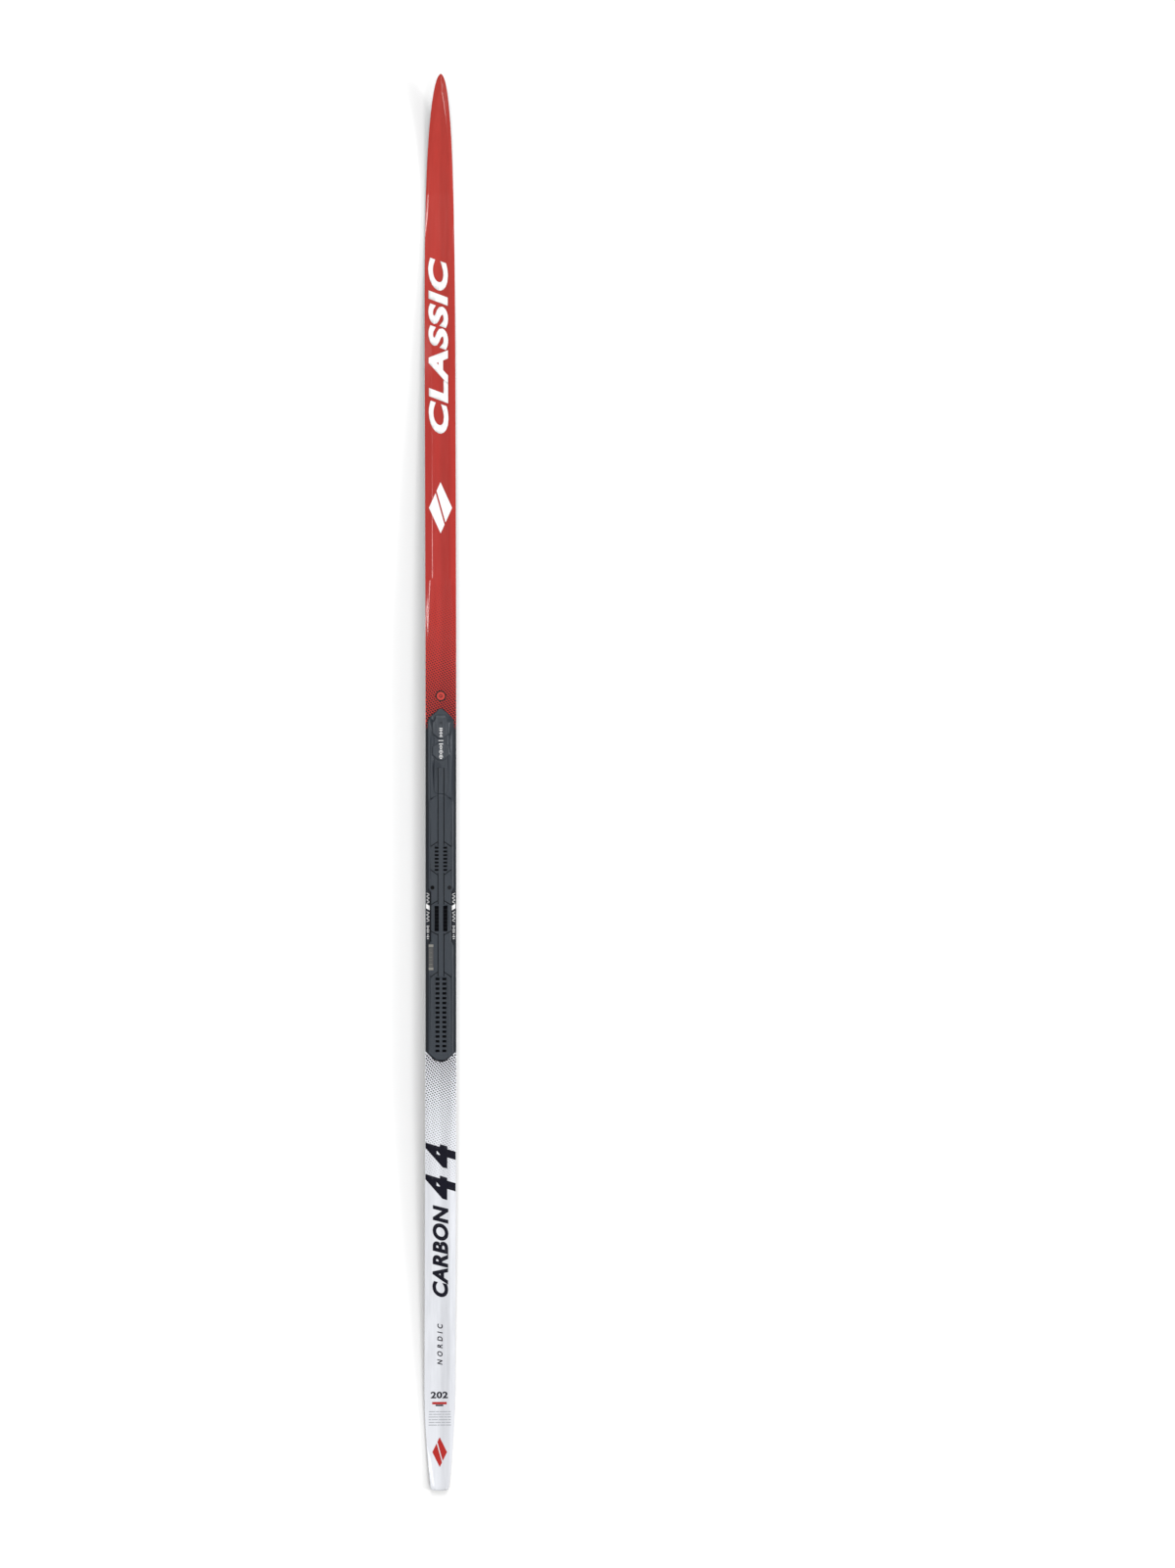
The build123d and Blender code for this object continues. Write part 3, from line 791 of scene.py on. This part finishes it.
class SKI_OT_plate(Operator):
    """Finish the moulded binding plate and its white ticks"""
    bl_idname = "ski.plate"
    bl_label = "Binding plate"

    # All in mm: the ticks' pitch, the place of each run of them with their widths, and their height
    TICK_PITCH = 2.3
    TICK_RUNS = ((78.2, (4.4, 4.4, 2.6, 4.4, 2.6, 4.4)),
                 (55.9, (5.6, 2.6, 4.2, 2.6, 4.2, 5.6, 2.6, 4.2, 5.6, 2.6)))
    TICK_HIGH = 1.05
    BAR = (7.0, 0.9, 60.8)                  # width, height and place along the ski
    RAIL_DROP = 1.2                         # how far the rails lie under the lobes
    HOLE_SHADOW = (-12.15, -148.5, 2.8)      # painted shadow in the drilled left hole, a flat dark disc: middle and radius

    def execute(self, context):
        clad("binding_plate", "plate_moulding", moulded_plate(), crease=11.0)
        white = ink("plate_ink", colours().ink_white, 0.45)
        ticks = [flat_sheet(wide * MM, self.TICK_HIGH * MM, 0, (start - k * self.TICK_PITCH) * MM)
                 for start, widths in self.TICK_RUNS for k, wide in enumerate(widths)]
        laid(join(ticks, "ticks"), "plate_ticks", white, level=LOBE)
        wide, high, y = (v * MM for v in self.BAR)
        laid(flat_sheet(wide, high, 0, y), "plate_bar", white, level=LOBE - self.RAIL_DROP * MM)
        # Painted shadow: a flat black disc at the hole's bottom stands for the shade down the drilled hole.
        x, y, radius = (v * MM for v in self.HOLE_SHADOW)
        floor = flat_polygon(24, radius, radius, x, y)
        laid(floor, "hole_floor", ink("hole_shade", SHADE_BLACK, 0.6), level=TOP)
        return {"FINISHED"}


class SKI_OT_badge_and_label(Operator):
    """Finish the round badge with its ring mark, and the label with its bars"""
    bl_idname = "ski.badge_and_label"
    bl_label = "Badge and label"

    # All in mm
    THIN_BARS = (0.45, 0.3, 0.7, 0.3, 0.5, 0.9, 0.35, 0.3, 0.6, 1.1, 0.4, 0.3, 0.8, 0.35, 0.5, 0.3, 1.3,
                 0.9, 0.4)
    THIN_SHARE = (0.78, 0.5)    # of the label's width, and of the height given above, that is printed
    THIN_ASIDE = 0.07           # how far left of the middle they stand, as a share of the width
    THIN_MARGIN = 1.3           # before the first thin bar and after the last
    END_BAR = 3.4
    MARGIN = 0.1                # between the label's rim and its print
    RING = (2.5, 0.8)           # outer radius and width of the ring mark
    STEM = (0.7, 2.4, 0.9)      # width, height and distance under the middle of the bar in the ring

    def execute(self, context):
        coat(NODES["round_badge"].data, badge_lens())
        coat(NODES["plate_label"].data, label_film())
        radius, ring_wide = (v * MM for v in self.RING)
        ring = flat_polygon(32, radius, radius, 0, BADGE_Y)
        editing(ring)
        bpy.ops.mesh.inset(thickness=ring_wide)
        bpy.ops.mesh.delete(type="FACE")
        done()
        wide, high, under = (v * MM for v in self.STEM)
        stem = flat_sheet(wide, high, 0, BADGE_Y - under)
        dark = ink("badge_ink", colours().ink_black)
        laid(join([ring, stem], "marks"), "badge_mark", dark, level=BADGE_HIGH.z)

        cream = ink("label_ink", (0.23, 0.225, 0.205))
        laid(join(self.bars(), "bars"), "label_bars", cream, level=LABEL_HIGH.z)
        return {"FINISHED"}

    def bars(self):
        """Two thick bars at the label's ends and the thin ones spread between them."""
        end_bar, margin, thin_margin = self.END_BAR * MM, self.MARGIN * MM, self.THIN_MARGIN * MM
        wide = LABEL_HIGH.x - LABEL_LOW.x - 2 * margin
        centre = (LABEL_LOW.x + LABEL_HIGH.x) / 2
        bars = [flat_sheet(wide, end_bar, centre, LABEL_HIGH.y - end_bar / 2 - margin),
                flat_sheet(wide, end_bar, centre, LABEL_LOW.y + end_bar / 2 + margin)]
        share_wide, share_high = self.THIN_SHARE
        y = LABEL_HIGH.y - end_bar - thin_margin - margin
        free = LABEL_HIGH.y - LABEL_LOW.y - 2 * (end_bar + thin_margin) - sum(self.THIN_BARS) * MM
        space = free / (len(self.THIN_BARS) - 1)
        for high in self.THIN_BARS:
            high *= MM
            bars.append(flat_sheet(wide * share_wide, high * share_high, centre - wide * self.THIN_ASIDE,
                                   y - high / 2))
            y -= high + space
        return bars


class SKI_OT_halftone(Operator):
    """Print the halftone dots that fade out in front of the plate and behind it"""
    bl_idname = "ski.halftone"
    bl_label = "Halftone"

    ALONG = (1.15, 3.72)        # the lattice's two steps, each across and along the ski, in mm
    ACROSS = (3.45, 1.24)
    CORNERS = 10
    FRONT = (0.078, 0.283)      # where the dots are largest and finest, in metres along the ski
    REAR = (-0.380, -0.570)
    REAR_SHARE = 0.94           # size of the largest rear dots next to the front ones
    NOSE_SLOPE = 0.925          # of the plate's pointed front
    NOSE_GAP = 0.6              # bare mm in front of the plate, beside it and behind it
    SIDE_GAP = 0.3
    HEEL_GAP = 0.2
    HEEL_BENDS = ((2.5, 0.36), (7, 0.41), (13, 0.18))   # mm from the middle, and how much steeper it turns
    EDGE_GAP = 0.25             # bare mm along the ski's edges
    LEAD = 0.045                # metres by which the lattice starts before the first dots
    SPARE_ROWS = (16, 12)       # more rows, counted and not counted in the lattice's drift

    def execute(self, context):
        black = ink("halftone_ink", colours().ink_black)
        largest = sizes().dot_radius
        self.field("halftone_front", black, *self.FRONT, largest, self.before_plate)
        self.field("halftone_rear", black, *self.REAR, largest * self.REAR_SHARE, self.behind_plate)
        return {"FINISHED"}

    def before_plate(self, x, y):
        ahead = y > PLATE_HIGH.y - abs(x) * self.NOSE_SLOPE + self.NOSE_GAP * MM
        return ahead | (abs(x) > PLATE_HIGH.x + self.SIDE_GAP * MM)

    def behind_plate(self, x, y):
        rise = sum(steeper * np.maximum(abs(x) - start * MM, 0) for start, steeper in self.HEEL_BENDS)
        return y < PLATE_LOW.y + rise - self.HEEL_GAP * MM

    def field(self, name, material, dense_y, fine_y, largest, outside_plate):
        """Dots of one size by Array modifiers, then each scaled by its place along the ski."""
        low, high = sorted((dense_y, fine_y))
        dot = flat_polygon(self.CORNERS, MM, MM)
        rows = int((high - low) / (self.ALONG[1] * MM)) + self.SPARE_ROWS[0]
        drift = rows * self.ALONG[0] * MM
        columns = int((2 * HALF_WIDTH + drift) / (self.ACROSS[0] * MM)) + 2
        dot.data.transform(Matrix.Translation((-HALF_WIDTH - drift, low - self.LEAD, 0)))
        for count, step in ((rows + self.SPARE_ROWS[1], self.ALONG), (columns, self.ACROSS)):
            modify(dot, "ARRAY", count=count, use_relative_offset=False, use_constant_offset=True,
                   constant_offset_displace=(step[0] * MM, step[1] * MM, 0))
        self.scale_dots(dot, dense_y, fine_y, largest, outside_plate)
        trimmed(dot, HALF_WIDTH - self.EDGE_GAP * MM)
        laid(dot, name, material)

    def scale_dots(self, dot, dense_y, fine_y, largest, outside_plate):
        """Sizes each dot round its own middle and deletes those that aren't wanted."""
        mesh = dot.data
        points = np.empty(len(mesh.vertices) * 3)
        mesh.vertices.foreach_get("co", points)
        points = points.reshape(-1, self.CORNERS, 3)
        centres = points.mean(1, keepdims=True)
        x, y = centres[:, 0, 0], centres[:, 0, 1]
        share = (y - dense_y) / (fine_y - dense_y)
        radius = largest + (sizes().fine_dot_radius - largest) * np.clip(share, 0, 1)
        kept = (share > -0.001) & (share < 1) & (abs(x) < HALF_WIDTH) & outside_plate(x, y)
        points = centres + (points - centres) * (radius / MM)[:, None, None]
        mesh.vertices.foreach_set("co", points.ravel())
        mesh.update()
        editing(dot)
        bpy.ops.mesh.select_all(action="DESELECT")
        done()
        unwanted = np.repeat(~kept, self.CORNERS)
        mesh.vertices.foreach_set("select", unwanted)
        mesh.edges.foreach_set("select", unwanted)
        mesh.polygons.foreach_set("select", ~kept)
        bpy.ops.object.mode_set(mode="EDIT")
        bpy.ops.mesh.delete(type="VERT")
        done()


class SKI_OT_front_marks(Operator):
    """Print the white word and the split rhombus on the red front"""
    bl_idname = "ski.front_marks"
    bl_label = "Front marks"

    # All in mm
    WORD_BOX = ((-16.4, 498.5), (11.6, 751.0))
    RHOMBUS = (16.5, 36.5, 392.6, 2.4)      # half width, half height, place along the ski and gap

    def execute(self, context):
        white = ink("front_white", colours().ink_white)
        word = word_in(self.WORD_BOX, "CLASSIC", 1.12, 0.048, 0.22)
        laid(word, "front_word", white, cell=CELL)
        laid(join(split_rhombus(*self.RHOMBUS), "halves"), "front_rhombus", white, cell=CELL)
        return {"FINISHED"}


class SKI_OT_edge_marks(Operator):
    """Print the small white marks beside the plate's narrow middle"""
    bl_idname = "ski.edge_marks"
    bl_label = "Edge marks"

    # All in mm
    MIDDLE_X = 18.4
    WIDE = 3.8
    BLOCK = (5.0, 6.4, -176.2)          # width, length and place of the slanted block
    BLOCK_LEAN = 0.6
    ZIGZAGS = (-157.2, -183.4)          # first stroke of each
    STROKES = 6
    STROKE = (0.7, 2.55, 0.46)          # thickness, pitch and lean
    BARS = ((-203.6, 1.0), (-206.4, 0.6), (-209.2, 1.0), (-212.0, 0.8), (-216.0, 0.45), (-218.4, 0.9),
            (-221.2, 0.6))              # place, and share of the full width
    BAR_HIGH = 1.0

    def execute(self, context):
        white = ink("edge_white", colours().ink_white)
        for side, name in ((-1, "edge_marks_left"), (1, "edge_marks_right")):
            laid(self.column(side), name, white, level=TOP)
        return {"FINISHED"}

    def column(self, side):
        x = side * self.MIDDLE_X * MM
        wide = self.WIDE * MM
        shapes = []
        block_wide, block_high, y = (v * MM for v in self.BLOCK)
        block = slanted(flat_sheet(block_wide, block_high), -self.BLOCK_LEAN * side)
        place(block, x, y)
        shapes.append(block)
        thick, pitch, lean = self.STROKE
        for start in self.ZIGZAGS:
            for k in range(self.STROKES):
                stroke = slanted(flat_sheet(wide, thick * MM), side * lean if k % 2 else -side * lean)
                place(stroke, x, (start - pitch * k) * MM)
                shapes.append(stroke)
        for y, share in self.BARS:
            shapes.append(flat_sheet(wide * share, self.BAR_HIGH * MM, x, y * MM))
        return join(shapes, "column")


class SKI_OT_rear_marks(Operator):
    """Print the numerals, words, length mark, small lines and the red rhombus on the white tail"""
    bl_idname = "ski.rear_marks"
    bl_label = "Rear marks"

    # All in mm
    NUMERAL_BOXES = (((-21.6, -594.0), (21.6, -556.5)), ((-21.6, -549.0), (21.6, -511.5)))
    NUMERAL_CELL = (1.5, 6.0)
    WORD_BOX = ((-11.2, -733.0), (11.5, -600.8))
    SMALL_BOX = ((-3.9, -830.4), (3.9, -771.0))
    LENGTH_BOX = ((-12.9, -878.6), (11.8, -868.8))
    RED_BAR = (20.9, 3.5, -0.4, -885.4)      # width, height and middle
    BLACK_BAR = (11.0, 2.2, -0.4, -888.6)
    RHOMBUS = (10.6, 21.4, -955.4, 1.6)      # half width, half height, place along the ski and gap
    LINES = (-1.2, -897.6)                   # middle of the first small line
    LINE_PITCH = 3.85
    DASHES = ((9.0, 4.5, 11.0, 4.0), (5.0, 12.0, 3.0, 8.5), (14.0, 6.5, 4.0, 5.0), (3.5, 9.0, 12.5, 4.0),
              (8.0, 8.0, 5.5, 7.0), (12.0, 3.0, 7.0, 7.5))
    DASH_HIGH = 1.0
    DASH_GAP = 0.9

    def execute(self, context):
        navy = ink("tail_navy", colours().ink_navy)
        digits = [word_in(box, "4", 1.0, 0.055, 0.30) for box in self.NUMERAL_BOXES]
        laid(join(digits, "numerals"), "tail_numerals", navy, cell=self.NUMERAL_CELL)
        laid(word_in(self.WORD_BOX, "CARBON", 1.10, 0.045, 0.25), "tail_word", navy, cell=CELL)
        laid(word_in(self.SMALL_BOX, "NORDIC", 1.9, 0.03, 0.25), "tail_small_word", navy, cell=CELL)
        number = word_in(self.LENGTH_BOX, "202", 1.05, 0.035, 0.0, along=False)
        laid(number, "length_mark", navy, cell=CELL)

        red = ink("tail_red", colours().ink_red)
        bar = flat_sheet(*(v * MM for v in self.RED_BAR))
        laid(join([bar, *split_rhombus(*self.RHOMBUS)], "halves"), "tail_red_marks", red, cell=CELL)
        underline = flat_sheet(*(v * MM for v in self.BLACK_BAR))
        laid(underline, "length_underline", navy, cell=CELL)
        grey = ink("tail_grey", colours().ink_grey)
        laid(self.small_lines(), "tail_small_lines", grey, cell=CELL)
        return {"FINISHED"}

    def small_lines(self):
        """Rows of dashes that spell nothing."""
        dashes = []
        middle, first_y = self.LINES
        for row, lengths in enumerate(self.DASHES):
            x = middle - sum(lengths) / 2
            y = first_y - row * self.LINE_PITCH
            for wide in lengths:
                dashes.append(flat_sheet(wide * MM, self.DASH_HIGH * MM, (x + wide / 2) * MM, y * MM))
                x += wide + self.DASH_GAP
        return join(dashes, "dashes")


class SKI_OT_stage(Operator):
    """Set up the pale floor, the soft lights and the camera"""
    bl_idname = "ski.stage"
    bl_label = "Stage"

    # Each light's setting, and in degrees its spread and its lean towards the tail and to the right
    LIGHTS = (("high", 34, -42, 5), ("side", 30, 0, 48), ("rim", 8, 0, 48), ("tip", 12, 29, 18),
              ("glint", 9, -4, -9))
    FLOOR = 60.0                # metres
    AIM_Y = -0.001              # the view's middle along the ski

    def execute(self, context):
        scene = context.scene
        settings = scene.ski_stage
        scene.view_settings.view_transform = "Standard"
        bpy.ops.object.select_all(action="DESELECT")
        bpy.ops.mesh.primitive_plane_add(size=self.FLOOR, location=(0, 0, 0))
        floor = active("floor")
        floor.data.materials.append(pale_floor())

        world = bpy.data.worlds.new("even_light")
        world.use_nodes = True
        background = world.node_tree.nodes["Background"].inputs
        background["Color"].default_value = (1.0, 1.0, 1.0, 1.0)
        background["Strength"].default_value = settings.sky
        scene.world = world

        for key, spread, lean_back, lean_right in self.LIGHTS:
            turn = (radians(lean_back), radians(lean_right), 0)
            bpy.ops.object.light_add(type="SUN", rotation=turn)
            light = active(f"{key}_light")
            light.data.energy = getattr(settings, key)
            light.data.angle = radians(spread)

        bpy.ops.object.camera_add()
        camera = bpy.context.view_layer.objects.active
        camera.name = "camera"
        lean = settings.tilt
        aim = Vector((settings.aside, self.AIM_Y, TOP))
        back = Matrix.Rotation(-lean, 3, "Y") @ Vector((0, 0, 1))
        camera.location = aim + back * settings.distance
        camera.rotation_euler = (0, -lean, 0)
        camera.data.sensor_width = 36.0
        camera.data.lens = camera.data.sensor_width * settings.distance / settings.field
        camera.data.clip_end = 100.0
        scene.camera = camera
        return {"FINISHED"}


class SKI_PT_panel(Panel):
    """The ski's pieces, in the order in which they are finished"""
    bl_label = "Cross country ski"
    bl_space_type = "VIEW_3D"
    bl_region_type = "UI"
    bl_category = "Ski"

    def draw(self, context):
        for group in ("ski_colours", "ski_sizes", "ski_stage"):
            settings = getattr(context.scene, group)
            box = self.layout.box()
            for key in settings.__annotations__:
                box.prop(settings, key)
        for operator in STEPS:
            self.layout.operator(operator.bl_idname)


GROUPS = {"ski_colours": SkiColours, "ski_sizes": SkiSizes, "ski_stage": SkiStage}
STEPS = (SKI_OT_laminate, SKI_OT_inner_layers, SKI_OT_plate, SKI_OT_badge_and_label, SKI_OT_halftone,
         SKI_OT_front_marks, SKI_OT_edge_marks, SKI_OT_rear_marks, SKI_OT_stage)


def register():
    for name, group in GROUPS.items():
        bpy.utils.register_class(group)
        setattr(bpy.types.Scene, name, PointerProperty(type=group))
    for cls in (*STEPS, SKI_PT_panel):
        bpy.utils.register_class(cls)


def unregister():
    for cls in (SKI_PT_panel, *reversed(STEPS)):
        bpy.utils.unregister_class(cls)
    for name, group in GROUPS.items():
        delattr(bpy.types.Scene, name)
        bpy.utils.unregister_class(group)


def main():
    register()
    for step in STEPS:
        group, name = step.bl_idname.split(".")
        getattr(getattr(bpy.ops, group), name)()


if __name__ == "__main__":
    main()
